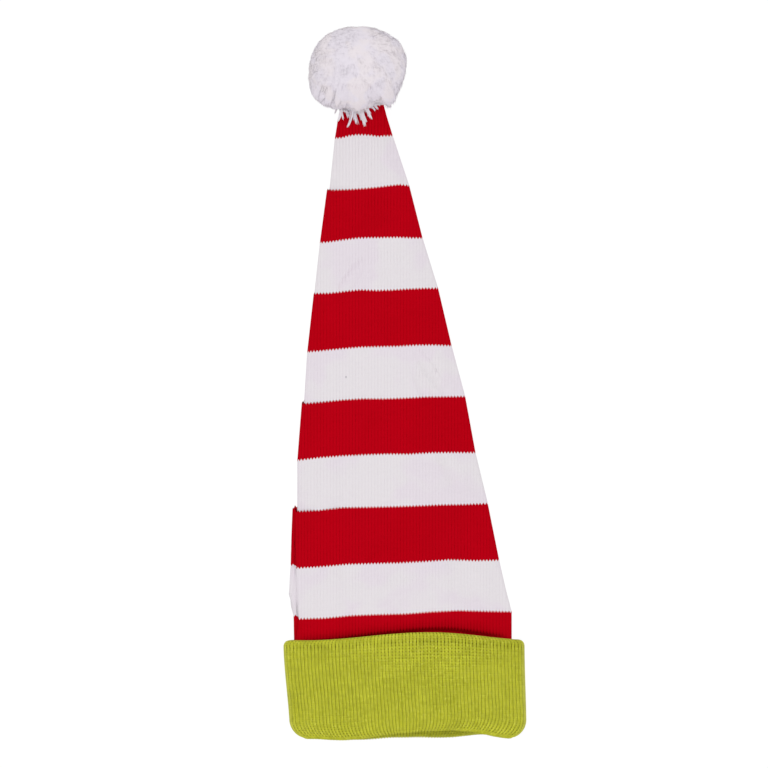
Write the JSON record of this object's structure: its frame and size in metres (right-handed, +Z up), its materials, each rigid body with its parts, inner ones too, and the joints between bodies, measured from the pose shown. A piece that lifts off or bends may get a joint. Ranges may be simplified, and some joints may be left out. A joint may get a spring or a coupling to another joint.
{
  "type": "santa hat",
  "caption": "Long striped knitted stocking hat lying flat: tapering hollow crown, turned-up cuff round an open mouth, and a yarn pompom at the tip.",
  "frame": {"origin": "on the surface it lies on, under the middle of the hat's box", "axes": "+Y from the mouth to the pompom, +X to the hat's right seen from above, +Z up from the surface"},
  "size_m": [0.244, 0.7122, 0.0812],
  "materials": {
    "striped_knit": "plain knitted yarn in red and white stripes, matt and softly fuzzy",
    "lime_knit": "plain knitted lime yarn, matt and softly fuzzy",
    "white_pile": "soft cut yarn pile, matt white"
  },
  "bodies": {
    "root": {"crown": "striped_knit", "cuff": "lime_knit", "pompom": "white_pile"}
  },
  "joints": []
}
